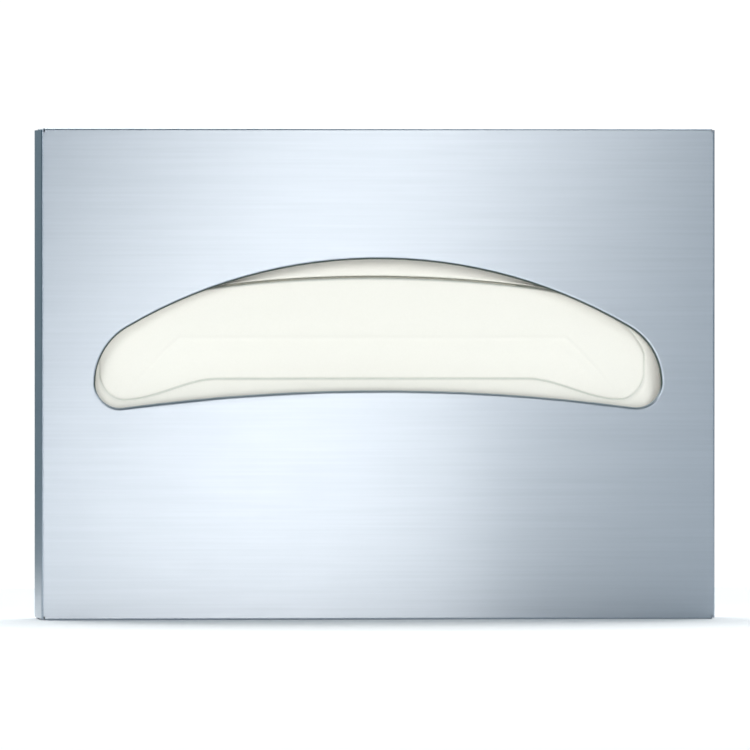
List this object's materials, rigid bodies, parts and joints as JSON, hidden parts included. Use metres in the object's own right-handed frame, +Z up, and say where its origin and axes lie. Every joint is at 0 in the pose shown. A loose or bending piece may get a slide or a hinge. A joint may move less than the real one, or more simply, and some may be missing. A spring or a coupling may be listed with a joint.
{
  "type": "toilet seat cover dispenser",
  "caption": "Wall dispenser for folded paper toilet seat covers: a flat box of brushed stainless sheet with a long curved opening, open below for filling.",
  "frame": {"origin": "middle of the flat back face that goes against the wall", "axes": "+X to the right as seen from the front, along the width; +Y towards the wall, out of the back face; +Z up"},
  "size_m": [0.4, 0.057, 0.2904],
  "materials": {
    "satin_sheet": "brushed along the width, satin",
    "mill_sheet": "dull cold rolled",
    "stack_paper": "soft matt tissue, cut edges",
    "cover_paper": "soft matt tissue"
  },
  "bodies": {
    "root": {"front_shell": "satin_sheet", "back_plate": "mill_sheet", "cover_stack": "stack_paper", "front_cover": "cover_paper"}
  },
  "joints": []
}
